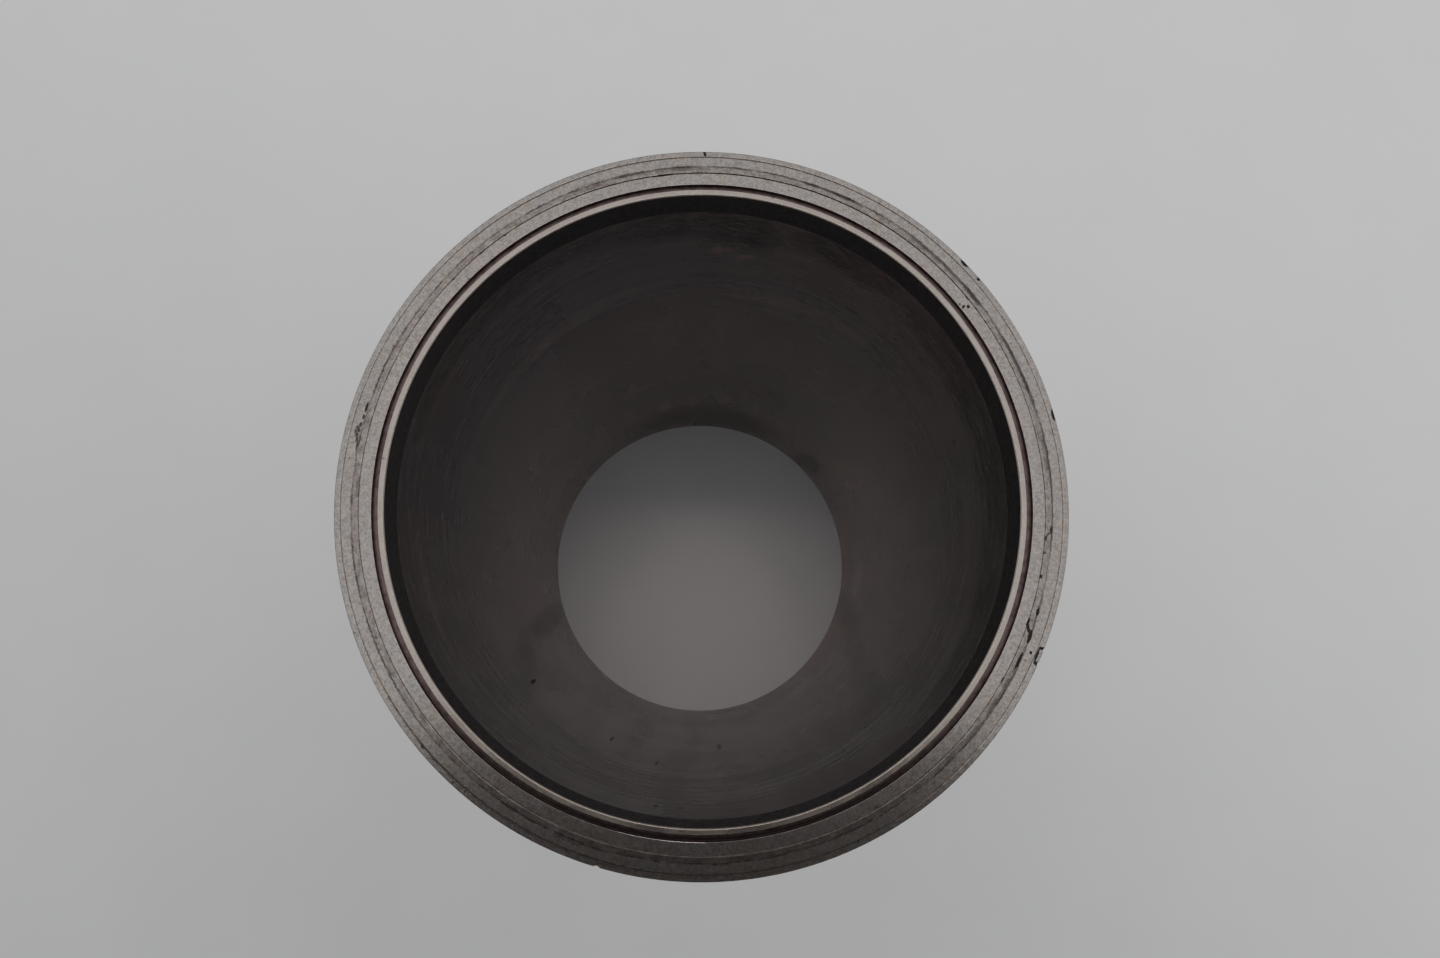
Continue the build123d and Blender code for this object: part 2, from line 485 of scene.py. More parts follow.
def add_node(tree, kind, inputs=None, **settings):
    """A node of one kind with its settings and inputs filled in."""
    made = tree.nodes.new("ShaderNode" + kind)
    for key, value in settings.items():
        setattr(made, key, value)
    for key, value in (inputs or {}).items():
        fill(tree, made.inputs[key], value)
    return made


def calc(tree, operation, a, b=0.0, c=0.0, clamp=False):
    """The output of one Math node."""
    return add_node(tree, "Math", {0: a, 1: b, 2: c}, operation=operation, use_clamp=clamp).outputs[0]


def times(tree, first, *others):
    """Values multiplied together."""
    for other in others:
        first = calc(tree, "MULTIPLY", first, other)
    return first


def plus(tree, first, *others):
    """Values added together."""
    for other in others:
        first = calc(tree, "ADD", first, other)
    return first


def greatest(tree, first, *others):
    """The greatest of some values."""
    for other in others:
        first = calc(tree, "MAXIMUM", first, other)
    return first


def weighted(tree, first, first_rate, second, second_rate, constant):
    """Two values, each times its rate, added to a constant."""
    if second_rate:
        constant = calc(tree, "MULTIPLY_ADD", second, second_rate, constant)
    return calc(tree, "MULTIPLY_ADD", first, first_rate, constant)


def scaled(tree, vector, factor):
    """A colour or a vector times a factor."""
    return add_node(tree, "VectorMath", {0: vector, "Scale": factor}, operation="SCALE").outputs[0]


def blend(tree, share, low, high):
    """One colour mixed into another by a share."""
    made = add_node(tree, "Mix", data_type="RGBA", blend_type="MIX", clamp_factor=True)
    fill(tree, made.inputs[0], share)
    fill(tree, made.inputs[6], low)
    fill(tree, made.inputs[7], high)
    return made.outputs[2]


def ramp(tree, value, from_low, from_high, to_low=0.0, to_high=1.0, smooth=True):
    """A value carried from one range to another, held at both ends."""
    kind = "SMOOTHSTEP" if smooth else "LINEAR"
    inputs = {0: value, 1: from_low, 2: from_high, 3: to_low, 4: to_high}
    return add_node(tree, "MapRange", inputs, interpolation_type=kind, clamp=True).outputs[0]


def noise(tree, vector, scale, detail=2.0, roughness=0.5):
    """Noise from 0 to 1 at a vector in millimetres."""
    inputs = {"Vector": vector, "Scale": scale, "Detail": detail, "Roughness": roughness}
    return add_node(tree, "TexNoise", inputs).outputs[0]


def spread(tree, value, low=0.0, high=1.0):
    """Noise carried to a range of its own."""
    return ramp(tree, value, NOISE_LOW, NOISE_HIGH, low, high)


def swing(tree, value, reach):
    """Noise from 0 to 1 carried to a swing of some reach about 0."""
    return calc(tree, "MULTIPLY_ADD", value, reach, -reach / 2)


class Place:
    """A shading point's place on the liner, in millimetres from the bottom of the bore axis."""

    def __init__(self, tree):
        self.tree = tree
        self.point = scaled(tree, add_node(tree, "TexCoord").outputs["Object"], 1 / MM)
        self.x, self.y, self.height = add_node(tree, "SeparateXYZ", {0: self.point}).outputs
        squares = plus(tree, calc(tree, "POWER", self.x, 2), calc(tree, "POWER", self.y, 2))
        self.radius = calc(tree, "SQRT", squares)
        self.angle = calc(tree, "ARCTAN2", self.y, self.x)

    def band(self, low, high, softness):
        """1 between two radii and 0 outside them, with soft ends."""
        tree = self.tree
        rise = ramp(tree, self.radius, low - softness, low + softness)
        fall = ramp(tree, self.radius, high - softness, high + softness, 1, 0)
        return times(tree, rise, fall)

    def rings(self, across, along):
        """A vector that changes fast across the turning marks and slowly along them."""
        tree = self.tree
        circle = {0: calc(tree, "COSINE", self.angle), 1: calc(tree, "SINE", self.angle)}
        slow = scaled(tree, add_node(tree, "CombineXYZ", circle).outputs[0], along)
        reach = plus(tree, self.radius, self.height)
        fast = add_node(tree, "CombineXYZ", {2: times(tree, reach, across)}).outputs[0]
        return add_node(tree, "VectorMath", {0: slow, 1: fast}, operation="ADD").outputs[0]


def empty_material(name):
    """A node material without nodes, and its tree."""
    made = bpy.data.materials.new(name)
    made.use_nodes = True
    made.node_tree.nodes.clear()
    return made, made.node_tree


def iron_material(name):
    """A node material without a surface yet, its tree and a shading point's place."""
    made, tree = empty_material(name)
    return made, tree, Place(tree)


def iron_surface(tree, base, roughness, bump_height, metallic=1.0, bump_strength=0.3, bump_distance=0.05):
    """Close a tree with a metal surface, a roughness and a bump in millimetres."""
    relief = {"Height": bump_height, "Strength": bump_strength, "Distance": bump_distance * MM}
    bump = add_node(tree, "Bump", relief)
    inputs = {"Base Color": base, "Metallic": metallic, "Roughness": roughness, "Normal": bump.outputs[0]}
    shader = add_node(tree, "BsdfPrincipled", inputs)
    add_node(tree, "OutputMaterial", {0: shader.outputs[0]})


# Finishes ---------------------------------------------------


def speckle(tree, place, reach):
    """Fine cast grain, as a tone factor round 1."""
    fine = times(tree, noise(tree, place.point, GRAIN_FINE, 1, 0.6), GRAIN_FINE_SHARE)
    coarse = times(tree, noise(tree, place.point, GRAIN_COARSE, 2, 0.6), 1 - GRAIN_FINE_SHARE)
    return ramp(tree, plus(tree, fine, coarse), 0.37, 0.63, 1 - reach, 1 + reach, smooth=False)


def cosine_and_sine(degrees):
    """Cosine and sine of an angle in degrees."""
    return math.cos(math.radians(degrees)), math.sin(math.radians(degrees))


def marks(tree, place, table, rag_scale=2.8, soft=0.35, on_wall=False):
    """Strength of a table of marks, each worn to a ragged edge, by radius or by height on the wall."""
    level = place.height if on_wall else place.radius
    rag = swing(tree, noise(tree, place.point, rag_scale, 3, 0.65), MARK_RAG)
    total = None
    for angle, middle, along, across, tilt, strength in table:
        turn = math.radians((angle + 180) % 360 - 180)
        radius = BORE_R / MM if on_wall else middle
        cos, sin = cosine_and_sine(tilt)
        shift = (middle * sin - turn * radius * cos) / along
        run = weighted(tree, place.angle, radius * cos / along, level, -sin / along, shift)
        shift = -(middle * cos + turn * radius * sin) / across
        rise = weighted(tree, level, cos / across, place.angle, radius * sin / across, shift)
        far = calc(tree, "MULTIPLY_ADD", run, run, calc(tree, "MULTIPLY_ADD", rise, rise, rag))
        mask = ramp(tree, far, MARK_EDGE - soft, MARK_EDGE + soft, strength, 0)
        total = greatest(tree, total, mask) if total else mask
    return total


def print_stain(tree, place, inner):
    """The gasket's print and its dirty outer edge, each from 0 to 1."""
    ragged = swing(tree, noise(tree, place.rings(1.4, 75.0), 1.0, 3, 0.7), PRINT_RAG)
    drift = swing(tree, noise(tree, place.rings(0.1, 2.0), 1.0, 1), PRINT_DRIFT)
    reach = plus(tree, place.radius, plus(tree, ragged, drift))
    outer = inner + PRINT_WIDTH
    start = ramp(tree, place.radius, inner - 0.1, inner + 0.1)
    printed = times(tree, start, ramp(tree, reach, outer - 0.1, outer + 0.2, 1, 0))
    away = calc(tree, "ABSOLUTE", calc(tree, "SUBTRACT", reach, outer + PRINT_DIRT_GAP))
    patchy = ramp(tree, noise(tree, place.rings(0.2, 20.0), 1.0, 3, 0.6), 0.32, 0.62, 0.35, 1.0)
    return printed, times(tree, ramp(tree, away, 0.05, 0.30, 1, 0), patchy)


def line_dirt(tree, place, radius, half, share, caked):
    """Dirt in one turned line, patchy all round and caked along some stretches, from 0 to 1."""
    patchy = noise(tree, place.rings(0.1, 26.0), 1.0, 3, 0.6)
    worn = ramp(tree, patchy, 0.3, 0.6, share - 0.3, share)
    line = times(tree, place.band(radius - half, radius + half, 0.06), worn)
    return greatest(tree, line, marks(tree, place, caked, rag_scale=1.5, soft=0.6))


def groove_edge(tree, place):
    """The fire groove's outer edge where it is wiped bright, with a painted highlight, and where soot lies
    on it.
    """
    radius = (BORE_R + sizes().lip_wall + sizes().groove_width) / MM
    highlit = marks(tree, place, WIPED_EDGE_HIGHLIGHT)
    edge = place.band(radius - 0.1, radius + sizes().groove_edge / MM + 0.04, 0.05)
    sooted = times(tree, edge, calc(tree, "SUBTRACT", 0.30, highlit, clamp=True))
    return times(tree, edge, highlit), sooted


def gasket_face_colour(tree, place, mottle):
    """Colour of the gasket face, then its print and its dirt, each from 0 to 1."""
    look = finish()
    rim = FLANGE_R / MM
    inner_line = rim - sizes().inner_line / MM
    outer_line = rim - sizes().outer_line / MM
    bevel = rim - sizes().rim_edge / MM
    printed, dirty_edge = print_stain(tree, place, inner_line)
    cloudy = spread(tree, noise(tree, place.rings(0.9, 30.0), 1.0, 3, 0.7), 0.12, 0.85)
    smears = marks(tree, place, FACE_SMEARS, rag_scale=1.6, soft=1.0)
    outer = line_dirt(tree, place, outer_line, OUTER_LINE_HALF, OUTER_LINE_SHARE, OUTER_LINE_DIRT)
    inner = line_dirt(tree, place, inner_line, INNER_LINE_HALF, INNER_LINE_SHARE, INNER_LINE_DIRT)
    bright, sooted = groove_edge(tree, place)
    scars = marks(tree, place, FACE_MARKS)
    face = blend(tree, ramp(tree, mottle, *STRONG_NOISE), look.gasket_face, look.gasket_face_cool)
    face = blend(tree, times(tree, printed, cloudy), face, look.gasket_print)
    for soil in (times(tree, dirty_edge, 0.80), smears, outer, inner):
        face = blend(tree, soil, face, look.grime)
    # Painted highlight on the wiped edge of the fire groove.
    face = blend(tree, bright, face, look.wiped_edge_highlight)
    for soil in (sooted, ramp(tree, place.radius, bevel - 0.04, bevel + 0.04, 0, 0.7), scars):
        face = blend(tree, soil, face, look.grime)
    dirt = greatest(tree, times(tree, dirty_edge, 0.6), smears, outer, inner, scars, sooted)
    return face, printed, dirt


def gasket_face_finish():
    """Fine-turned iron with the stained print of a gasket and the marks of long use."""
    made, tree, place = iron_material("gasket_face_iron")
    mottle = noise(tree, place.point, 0.40, 3, 0.6)
    face, printed, dirt = gasket_face_colour(tree, place, mottle)
    grain = speckle(tree, place, 0.25)
    soiled = greatest(tree, times(tree, dirt, 0.6), times(tree, printed, 0.05))
    roughness = calc(tree, "MULTIPLY_ADD", soiled, 0.22, spread(tree, mottle, *FACE_ROUGHNESS))
    metallic = calc(tree, "MULTIPLY_ADD", dirt, -0.2, 1.0)
    toned = scaled(tree, face, grain)
    iron_surface(tree, toned, roughness, grain, metallic, bump_strength=0.2, bump_distance=0.02)
    return made


def fire_lip_finish():
    """The lip's bright turned metal, wiped by the gasket's fire ring, with soot on its inner edge."""
    made, tree, place = iron_material("fire_lip_iron")
    patch = noise(tree, place.rings(0.3, 9.0), 1.0, 2)
    grain = times(tree, speckle(tree, place, 0.09), spread(tree, patch, 0.93, 1.06))
    inner = BORE_R / MM
    creep = ramp(tree, place.radius, inner + CREEP_START, inner + CREEP_END, CREEP_STRENGTH, 0)
    dirt = greatest(tree, marks(tree, place, LIP_MARKS), creep)
    toned = scaled(tree, blend(tree, dirt, finish().fire_lip, finish().grime), grain)
    roughness = spread(tree, patch, *LIP_ROUGHNESS)
    iron_surface(tree, toned, roughness, grain, bump_strength=0.2, bump_distance=0.02)
    return made


def fire_groove_finish():
    """Burnt deposit baked into the groove, with painted shade against its outer wall on the near side."""
    made, tree, place = iron_material("fire_groove_soot")
    crust = noise(tree, place.rings(1.0, 40.0), 1.0, 3, 0.6)
    base = blend(tree, ramp(tree, crust, 0.4, 0.7), finish().groove_soot, finish().groove_crust)
    lip = (BORE_R + sizes().lip_wall) / MM
    # Painted shade in the groove's corner against its outer wall, on the near side only.
    wall_shade = ramp(tree, place.radius, lip + GROOVE_SHADE_START, lip + GROOVE_SHADE_END, 0, GROOVE_SHADE_STRENGTH)
    caked = times(tree, wall_shade, ramp(tree, place.y, *GROOVE_SHADE_FADE, 1, 0))
    base = blend(tree, caked, base, finish().grime)
    iron_surface(tree, base, GROOVE_ROUGHNESS, crust, bump_strength=0.3, bump_distance=0.04)
    return made


def carbon_band_finish():
    """Soot above the reach of the piston rings, with painted light making it palest towards the near left.
    """
    made, tree, place = iron_material("bore_carbon_band")
    crust = noise(tree, place.point, 0.9, 3, 0.6)
    base = blend(tree, spread(tree, crust), finish().carbon, finish().carbon_crust)
    # Painted light: the band grows paler towards the near left, the side that faces the light.
    aside = calc(tree, "MULTIPLY_ADD", place.x, -0.6, times(tree, place.y, -0.8))
    base = scaled(tree, base, ramp(tree, aside, -32, 32, 0.9, 1.6))
    roughness = spread(tree, crust, *CARBON_ROUGHNESS)
    iron_surface(tree, base, roughness, crust, metallic=0.0, bump_distance=0.04)
    return made


def hatch(tree, place, tilt, across, along, detail=3):
    """Noise drawn out into fine strokes on the wall, tilted by an angle in degrees."""
    cos, sin = cosine_and_sine(tilt)
    round_bore = times(tree, place.angle, BORE_R / MM)
    run = calc(tree, "MULTIPLY_ADD", round_bore, cos, times(tree, place.height, -sin))
    rise = calc(tree, "MULTIPLY_ADD", round_bore, sin, times(tree, place.height, cos))
    drawn = add_node(tree, "CombineXYZ", {0: times(tree, run, along), 1: times(tree, rise, across)})
    return noise(tree, drawn.outputs[0], 1.0, detail, 0.6)


def bore_tint(tree, place, cloud, wear):
    """Colour of the running surface, with its cool, varnished and pale patches."""
    look = finish()
    tint = blend(tree, spread(tree, wear, 0.1, 0.7), look.bore, look.bore_cool)
    cool = marks(tree, place, WALL_COOL, rag_scale=0.1, soft=1.2, on_wall=True)
    tint = blend(tree, cool, tint, look.bore_steel)
    tint = blend(tree, ramp(tree, cloud, 0.50, 0.70, 0, 0.4), tint, look.bore_varnish)
    gleams = marks(tree, place, WALL_GLEAMS, rag_scale=0.5, soft=1.1, on_wall=True)
    return blend(tree, gleams, tint, look.bore_gleam)


def bore_texture(tree, place, cloud, wear, cross):
    """Tone factor of the running surface that its texture gives."""
    tone = plus(tree, spread(tree, cloud, 0.92, 1.08), spread(tree, wear, -0.04, 0.04))
    grain = noise(tree, place.point, 1.3, 3, 0.6)
    return times(tree, tone, spread(tree, cross, 0.94, 1.06), spread(tree, grain, 0.96, 1.04))


def bore_shading(tree, place, tone):
    """A tone factor of painted light and shade, lowered towards the top of the near side and raised towards
    the foot, the far side and the flanks.
    """
    near_fade = ramp(tree, place.y, *NEAR_TO_FAR, 0.36, 0.02)
    fade = times(tree, ramp(tree, place.height, *TOP_FADE), near_fade)
    tone = times(tree, tone, calc(tree, "SUBTRACT", 1.0, fade))
    far_side = ramp(tree, place.y, *NEAR_TO_FAR)
    flanks = ramp(tree, calc(tree, "ABSOLUTE", place.x), *MIDDLE_TO_FLANK)
    far_side = times(tree, far_side, ramp(tree, place.height, *FAR_LIFT, 0.9, 0))
    flanks = times(tree, flanks, ramp(tree, place.height, *FLANK_LIFT, 0.8, 0))
    sides = plus(tree, far_side, flanks)
    lower = plus(tree, ramp(tree, place.height, *LOW_LIFT, 1.40, 1.0), sides)
    return times(tree, tone, plus(tree, lower, ramp(tree, place.height, *FOOT_GLOW, 0.35, 0)))


def bore_smudges_and_shadows(tree, place):
    """Strength of the smudges and the painted shadows, which fine crossed strokes break up near the top of
    the bore.
    """
    smudges_and_shadows = marks(tree, place, WALL_SMUDGES_AND_SHADOWS, rag_scale=0.16, soft=1.1, on_wall=True)
    rising = ramp(tree, hatch(tree, place, 22, 1.0, 0.13), 0.42, 0.62)
    falling = ramp(tree, hatch(tree, place, -26, 1.1, 0.15), 0.42, 0.62)
    broken = calc(tree, "MULTIPLY_ADD", greatest(tree, rising, falling), 0.72, 0.12)
    whole = ramp(tree, place.height, *STROKES_START, 0.85, 0)
    return times(tree, smudges_and_shadows, greatest(tree, broken, whole))


def bore_roughness(tree, place, cloud, wear, smudged_and_shaded, specks):
    """Roughness of the running surface, finely streaked near its top."""
    roughness = plus(tree, spread(tree, wear, *BORE_ROUGHNESS), spread(tree, cloud, -0.02, 0.03))
    fine = hatch(tree, place, 3, 0.36, 0.016, detail=1)
    streaks = ramp(tree, fine, *STRONG_NOISE, -0.018, 0.018)
    streaks = times(tree, streaks, ramp(tree, place.height, *STREAKS_START))
    roughness = calc(tree, "MULTIPLY_ADD", smudged_and_shaded, 0.06, plus(tree, roughness, streaks))
    return calc(tree, "MULTIPLY_ADD", specks, 0.4, roughness)


def honed_bore_finish():
    """Dark honed iron, worn smooth, with soft streaks, smudges below the soot and a few specks, and with
    painted light, shade and shadows.
    """
    made, tree, place = iron_material("honed_bore_iron")
    cloud = noise(tree, place.point, 0.028, 3, 0.5)
    wear = noise(tree, place.rings(0.010, 7.0), 1.0, 1, 0.5)
    cross = hatch(tree, place, 32, 1.6, 0.22)
    # The tone carries painted light and shade.
    tone = bore_shading(tree, place, bore_texture(tree, place, cloud, wear, cross))
    smudged_and_shaded = bore_smudges_and_shadows(tree, place)
    specks = marks(tree, place, WALL_SPECKS, rag_scale=1.6, soft=0.5, on_wall=True)
    toned = scaled(tree, bore_tint(tree, place, cloud, wear), tone)
    base = blend(tree, greatest(tree, smudged_and_shaded, specks), toned, finish().grime)
    roughness = bore_roughness(tree, place, cloud, wear, smudged_and_shaded, specks)
    iron_surface(tree, base, roughness, cross, BORE_METALLIC, bump_strength=0.06)
    return made


def outside_finish():
    """Turned iron on the outside, dulled between the bands by coolant."""
    made, tree, place = iron_material("outer_turned_iron")
    low, high = SEAL_BAND_TOP_Z / MM, UPPER_BAND_Z / MM
    turning = noise(tree, place.rings(2.6, 2.0), 1.0, 3, 0.6)
    grain = noise(tree, place.point, 1.6, 3, 0.6)
    cloud = noise(tree, place.point, 0.035, 4, 0.6)
    above = ramp(tree, place.height, low - 1, low + 3)
    below = ramp(tree, place.height, high - 3, high + 1, 1, 0)
    dull = times(tree, times(tree, above, below), spread(tree, cloud, 0.55, 0.95))
    base = blend(tree, dull, finish().outside, finish().jacket_stain)
    tone = plus(tree, spread(tree, turning, 0.9, 1.1), spread(tree, grain, -0.05, 0.05))
    roughness = calc(tree, "MULTIPLY_ADD", dull, 0.2, spread(tree, turning, *OUTSIDE_ROUGHNESS))
    iron_surface(tree, scaled(tree, base, tone), roughness, turning)
    return made


FINISHES = {
    "gasket_face": gasket_face_finish,
    "fire_lip": fire_lip_finish,
    "fire_groove": fire_groove_finish,
    "carbon_band": carbon_band_finish,
    "bore": honed_bore_finish,
    "outside": outside_finish,
}
ZONES = list(FINISHES)

# The liner's section ----------------------------------------


def top_section():
    """Corners from the bore over the top to the rim, each (radius, height, zone after it)."""
    size = sizes()
    lip_r = BORE_R + size.lip_wall
    groove_r = lip_r + size.groove_width
    floor_z = GASKET_Z - size.groove_depth
    flank = size.line_width / 2
    corners = [
        (BORE_R, size.foot_chamfer, "bore"),
        (BORE_R, GASKET_Z - size.carbon_band, "carbon_band"),
        (BORE_R, LIP_Z - size.lip_chamfer_drop, "fire_lip"),
        (BORE_R + size.lip_chamfer_width, LIP_Z, "fire_lip"),
        (lip_r, LIP_Z, "fire_groove"),
        (lip_r, floor_z, "fire_groove"),
        (groove_r, floor_z, "fire_groove"),
        (groove_r, GASKET_Z - size.groove_edge, "gasket_face"),
        (groove_r + size.groove_edge, GASKET_Z, "gasket_face"),
    ]
    for inset in (size.inner_line, size.outer_line):
        middle = FLANGE_R - inset
        for aside, depth in ((-flank, 0), (0, size.line_depth), (flank, 0)):
            corners.append((middle + aside, GASKET_Z - depth, "gasket_face"))
    return corners + [(FLANGE_R - size.rim_edge, GASKET_Z, "gasket_face")]


def seal_groove_section(low_z):
    """Corners of one seal-ring groove, from its top edge down."""
    size = sizes()
    root_r = SEAL_BAND_R - size.seal_groove_depth
    high_z = low_z + size.seal_groove_width
    root = size.seal_groove_root
    return [
        (SEAL_BAND_R, high_z),
        (root_r + root, high_z),
        (root_r, high_z - root),
        (root_r, low_z + root),
        (root_r + root, low_z),
        (SEAL_BAND_R, low_z),
    ]


def outside_section():
    """Corners down the outside of the section, from the rim to the foot of the bore."""
    size = sizes()
    jacket_r = BORE_R + size.jacket_wall
    root_r = UPPER_BAND_R - size.undercut_depth
    first = SEAL_BAND_Z + size.seal_groove_land
    corners = [
        (FLANGE_R, GASKET_Z - size.rim_edge),
        (FLANGE_R, GASKET_Z - size.chip_reach),
        (FLANGE_R, SEAT_Z + size.flange_foot),
        (FLANGE_R - size.flange_foot, SEAT_Z),
        (root_r + size.undercut_runout, SEAT_Z),
        (root_r, SEAT_Z - size.undercut_runout),
        (root_r, UNDERCUT_Z + size.undercut_runout),
        (root_r + size.undercut_runout, UNDERCUT_Z),
        (UPPER_BAND_R, UNDERCUT_Z),
        (UPPER_BAND_R, UPPER_BAND_Z),
        (jacket_r, UPPER_BAND_Z - size.runout),
        (jacket_r, SEAL_BAND_TOP_Z + size.runout),
        (SEAL_BAND_R, SEAL_BAND_TOP_Z),
        *seal_groove_section(first + size.seal_groove_pitch),
        *seal_groove_section(first),
        (SEAL_BAND_R, SEAL_BAND_Z),
        (jacket_r, SEAL_BAND_Z - size.runout),
        (jacket_r, size.skirt_taper_height),
        (jacket_r - size.skirt_taper_width, 0),
        (BORE_R + size.foot_chamfer, 0),
    ]
    return [(radius, height, "outside") for radius, height in corners]


def outward(here, following):
    """The outward normal of one straight run of the section."""
    run = (following - here).normalized()
    return Vector((-run.y, run.x))


def softened(corners):
    """The section as points with normals and zones: its corners worn round, its walls cut in steps."""
    size = sizes()
    lip_corner = (BORE_R + size.lip_chamfer_width, LIP_Z, "fire_lip")
    places = [Vector(corner[:2]) for corner in corners]
    following = places[1:] + places[:1]
    normals = [outward(here, there) for here, there in zip(places, following)]
    points = []
    for i, (here, there) in enumerate(zip(places, following)):
        zone = corners[i][2]
        back, ahead = places[i - 1] - here, there - here
        before, after = normals[i - 1], normals[i]
        if before.angle(after) > STRAIGHT_ANGLE:
            worn = size.lip_softness if corners[i] == lip_corner else size.edge_softness
            reach = min(worn, SOFT_SHARE * back.length, SOFT_SHARE * ahead.length)
            start, end = here + back.normalized() * reach, here + ahead.normalized() * reach
            middle = (start + end + 2 * here) / 4
            points.append((start, before, corners[i - 1][2]))
            points.append((middle, (before + after).normalized(), zone))
            here = end
        points.append((here, after, zone))
        parts = math.ceil((there - here).length / size.wall_step)
        points += [(here.lerp(there, part / parts), after, zone) for part in range(1, parts)]
    return points


def spin_angles():
    """Angles round the liner in radians, closer together inside the chips."""
    around = round(2 * math.pi * FLANGE_R / sizes().spin_step / 4) * 4
    angles = {round(2 * math.pi * index / around, 6) for index in range(around)}
    for angle, half, _ in RIM_CHIPS:
        middle, reach = math.radians(angle), half * MM / FLANGE_R
        steps = math.ceil(half * MM / sizes().chip_step)
        angles |= {round(middle + reach * index / steps, 6) for index in range(-steps, steps + 1)}
    return sorted(angles)


def chip_depth(angle):
    """How deep the rim is chipped at an angle, from 0, in metres."""
    deepest = 0.0
    for middle, half, depth in RIM_CHIPS:
        away = abs(angle - math.radians(middle)) * FLANGE_R / (half * MM)
        if away < 1:
            deepest = max(deepest, depth * MM * (1 - away**2) ** CHIP_SHARPNESS)
    return deepest


def chipped(radius, height, depth):
    """A point of the section near the rim's top edge, pressed in by a chip."""
    away = math.hypot(FLANGE_R - radius, GASKET_Z - height)
    share = max(0.0, 1 - away / sizes().chip_reach)
    return radius - depth * share, height - CHIP_DROP * depth * share


def spun_points(section, angles):
    """Corners of the spun mesh, the normal of each, and whether a chip has moved it."""
    depths = [chip_depth(angle) for angle in angles]
    vertices, normals, moved = [], [], []
    for point, normal, _ in section:
        for angle, depth in zip(angles, depths):
            radius, height = chipped(point.x, point.y, depth)
            vertices.append((radius * math.cos(angle), radius * math.sin(angle), height))
            normals.append((normal.x * math.cos(angle), normal.x * math.sin(angle), normal.y))
            moved.append(radius != point.x)
    return vertices, normals, moved


def spun_faces(section, around):
    """Faces between the rings of the spun mesh, and each one's finish by its number."""
    faces, finishes = [], []
    for ring, (_, _, zone) in enumerate(section):
        start, above = ring * around, (ring + 1) % len(section) * around
        for place in range(around):
            beside = (place + 1) % around
            faces.append((start + place, above + place, above + beside, start + beside))
            finishes.append(ZONES.index(zone))
    return faces, finishes


def add_object(name, data):
    """An object of its own in the open scene."""
    made = bpy.data.objects.new(name, data)
    bpy.context.scene.collection.objects.link(made)
    return made


def build_liner():
    """The liner as one closed mesh, spun from its softened section."""
    section = softened(top_section() + outside_section())
    angles = spin_angles()
    vertices, normals, moved = spun_points(section, angles)
    faces, finishes = spun_faces(section, len(angles))
    mesh = bpy.data.meshes.new("liner_iron")
    mesh.from_pydata(vertices, [], faces)
    for zone in ZONES:
        mesh.materials.append(FINISHES[zone]())
    mesh.polygons.foreach_set("material_index", finishes)
    mesh.shade_smooth()
    mesh.update()
    own = [tuple(vertex.normal) for vertex in mesh.vertices]
    normals = [rough if press else smooth for rough, smooth, press in zip(own, normals, moved)]
    mesh.normals_split_custom_set_from_vertices(normals)
    return add_object("liner_iron", mesh)


# Studio -----------------------------------------------------


def flat_sheet(name, corners, height, material):
    """A flat object with four corners, given as (x, y), at one height."""
    mesh = bpy.data.meshes.new(name)
    mesh.from_pydata([(x, y, height) for x, y in corners], [], [(0, 1, 2, 3)])
    mesh.materials.append(material)
    return add_object(name, mesh)


def floor_paper():
    """Matt pale paper, with painted light that makes it a little darker on one side of the liner than on the
    other.
    """
    made, tree = empty_material("floor_paper")
    point = add_node(tree, "TexCoord").outputs["Object"]
    fibre = add_node(tree, "TexNoise", {"Vector": point, "Scale": 18.0, "Detail": 3.0}).outputs[0]
    base = blend(tree, spread(tree, fibre), stage().floor, tuple(0.97 * c for c in stage().floor))
    corner = add_node(tree, "VectorMath", {0: point, 1: FLOOR_LIGHT_SLOPE}, operation="DOT_PRODUCT").outputs[1]
    # Painted light: the floor grows paler along one direction.
    base = scaled(tree, base, ramp(tree, corner, -FLOOR_LIGHT_REACH, FLOOR_LIGHT_REACH, 0.84, 1.16))
    inputs = {"Base Color": base, "Roughness": 0.9, "Specular IOR Level": 0.1}
    add_node(tree, "OutputMaterial", {0: add_node(tree, "BsdfPrincipled", inputs).outputs[0]})
    return made


def build_floor():
    """A wide pale floor."""
    half = FLOOR_HALF
    corners = [(-half, -half), (half, -half), (half, half), (-half, half)]
    floor = flat_sheet("floor", corners, 0, floor_paper())


def build_light():
    """Even light from all round, lower on the far side and higher overhead, and the bore's lamps."""
    world = bpy.data.worlds.new("studio")
    bpy.context.scene.world = world
    world.use_nodes = True
    tree = world.node_tree
    toward = add_node(tree, "SeparateXYZ", {0: add_node(tree, "TexCoord").outputs["Generated"]})
    level = ramp(tree, toward.outputs[1], *FAR_LIGHT, stage().sky_level, stage().far_level)
    level = plus(tree, level, ramp(tree, toward.outputs[2], *ZENITH_LIGHT, 0, stage().zenith_glow))
    background = tree.nodes["Background"]
    fill(tree, background.inputs["Strength"], level)
    background.inputs["Color"].default_value = (1.0, 1.0, 1.0, 1.0)
    for number, x in enumerate(BORE_LAMPS_X, 1):
        build_bore_lamp(number, x)


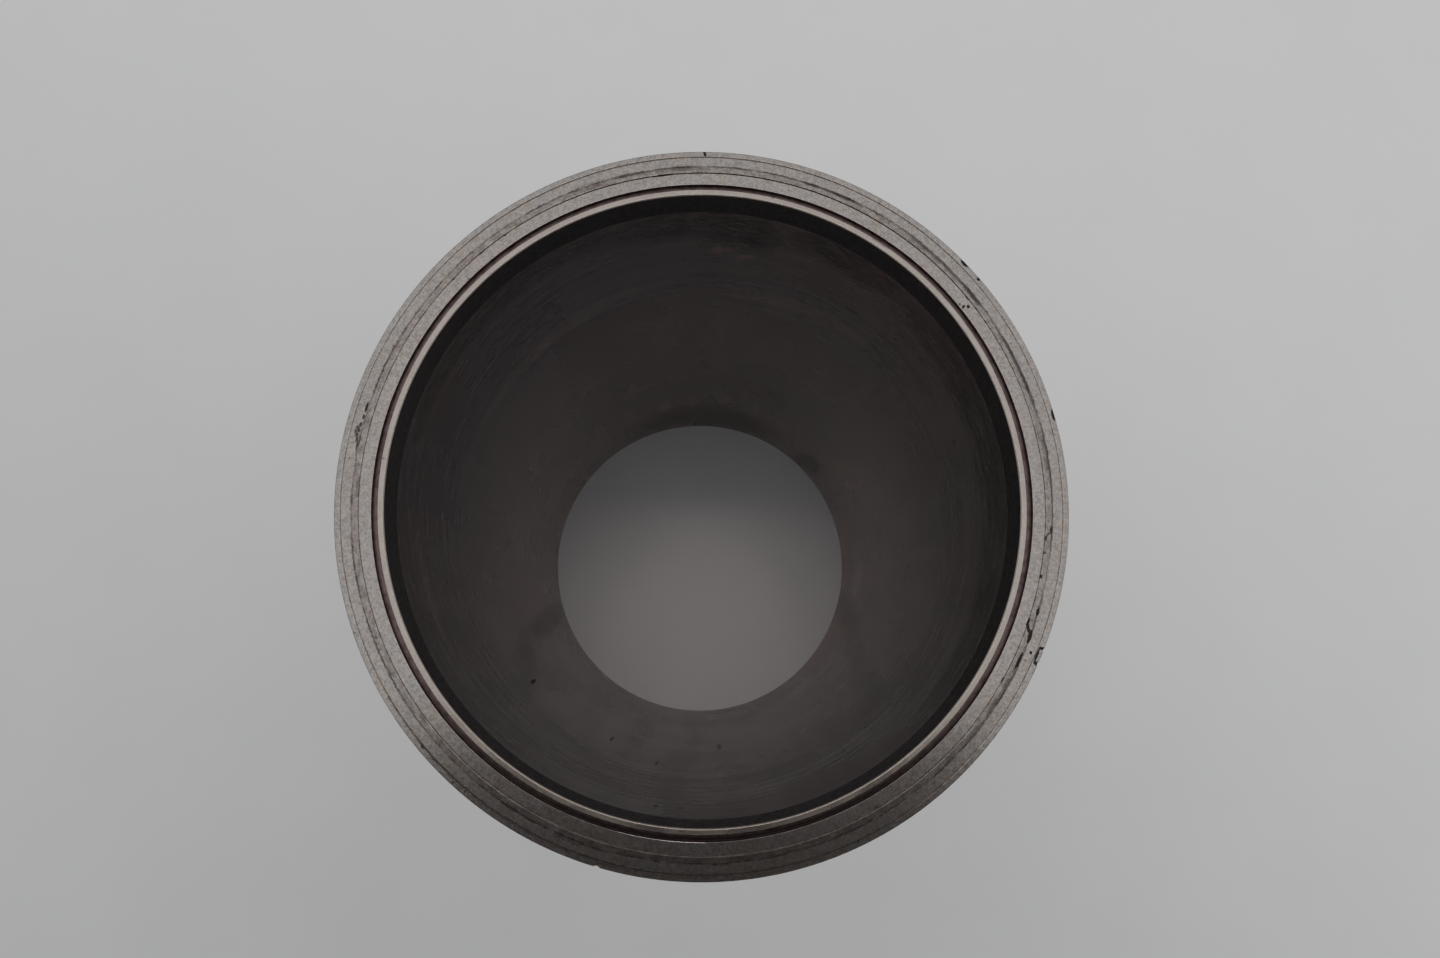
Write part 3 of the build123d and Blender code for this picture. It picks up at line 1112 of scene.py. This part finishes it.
def build_bore_lamp(number, x):
    """One of the soft spots that shine down the bore from beyond its far side."""
    lamp = bpy.data.lights.new("bore_lamp_%d" % number, "SPOT")
    lamp.energy = stage().bore_lamp / len(BORE_LAMPS_X)
    lamp.color = stage().bore_lamp_tint
    lamp.shadow_soft_size = BORE_LAMP_RADIUS
    made = add_object(lamp.name, lamp)
    made.location = (x, BORE_LAMPS_Y, BORE_LAMPS_Z)
    beam = made.location - Vector((0.0, 0.0, GASKET_Z))
    lamp.spot_size = 2 * math.atan(BEAM_SHARE * BORE_R / beam.length)
    lamp.spot_blend = BEAM_SOFTNESS
    made.rotation_euler = beam.to_track_quat("Z", "Y").to_euler()


def card_stock():
    """Matt dark grey card."""
    made = bpy.data.materials.new("black_card")
    made.use_nodes = True
    shader = made.node_tree.nodes["Principled BSDF"]
    fill(made.node_tree, shader.inputs["Base Color"], tuple(stage().card))
    shader.inputs["Roughness"].default_value = 0.9
    return made


def build_flag():
    """A dark card beside the camera, which the gasket face mirrors on its near side."""
    near = (CARD_APEX_Y - CARD_NEAR_Y) * CARD_SPREAD
    far = (CARD_APEX_Y - CARD_FAR_Y) * CARD_SPREAD
    corners = [(-near, CARD_NEAR_Y), (near, CARD_NEAR_Y), (far, CARD_FAR_Y), (-far, CARD_FAR_Y)]
    flag = flat_sheet("black_flag", corners, GASKET_Z + CARD_RISE, card_stock())
    flag.visible_camera = False


def build_camera():
    """A camera close above the bore."""
    data = bpy.data.cameras.new("camera")
    data.sensor_width = SENSOR_WIDTH
    data.lens = stage().focal_length
    data.clip_start = NEAREST_VIEW
    made = add_object("camera", data)
    made.location = (CAMERA_X, CAMERA_Y, GASKET_Z + stage().camera_height)
    made.rotation_euler = CAMERA_TURN
    bpy.context.scene.camera = made


# Operators --------------------------------------------------


class LINER_OT_body(bpy.types.Operator):
    """Build the turned and honed liner"""

    bl_idname = "liner.body"
    bl_label = "Liner Body"

    def execute(self, context):
        made = build_liner()
        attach(made, BODY)
        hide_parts(NODE)
        return {"FINISHED"}


class LINER_OT_stage(bpy.types.Operator):
    """Set up the pale floor, the lights, the dark card and the camera"""

    bl_idname = "liner.stage"
    bl_label = "Studio"

    def execute(self, context):
        build_floor()
        build_light()
        build_flag()
        build_camera()
        return {"FINISHED"}


# Add-on -----------------------------------------------------


class LINER_PT_panel(bpy.types.Panel):
    """Sizes, colours and build steps of the liner"""

    bl_idname = "LINER_PT_panel"
    bl_label = "Cylinder Liner"
    bl_space_type = "VIEW_3D"
    bl_region_type = "UI"
    bl_category = "Liner"

    def draw(self, context):
        for name in GROUPS:
            group = getattr(context.scene, name)
            box = self.layout.box()
            for key in group.__annotations__:
                box.prop(group, key)
        for operator in OPERATORS:
            self.layout.operator(operator.bl_idname)


OPERATORS = (LINER_OT_body, LINER_OT_stage)
GROUPS = {"liner_sizes": LinerSizes, "liner_finish": LinerFinish, "liner_stage": StageSettings}


def register():
    """Add the liner's classes and its settings."""
    for kind in (*GROUPS.values(), *OPERATORS, LINER_PT_panel):
        bpy.utils.register_class(kind)
    for name, group in GROUPS.items():
        setattr(bpy.types.Scene, name, bpy.props.PointerProperty(type=group))


def unregister():
    """Take the liner's settings and its classes away again."""
    for name in GROUPS:
        delattr(bpy.types.Scene, name)
    for kind in reversed((*GROUPS.values(), *OPERATORS, LINER_PT_panel)):
        bpy.utils.unregister_class(kind)


def main():
    """Build everything in order."""
    register()
    bpy.ops.liner.body()
    bpy.ops.liner.stage()


if __name__ == "__main__":
    main()
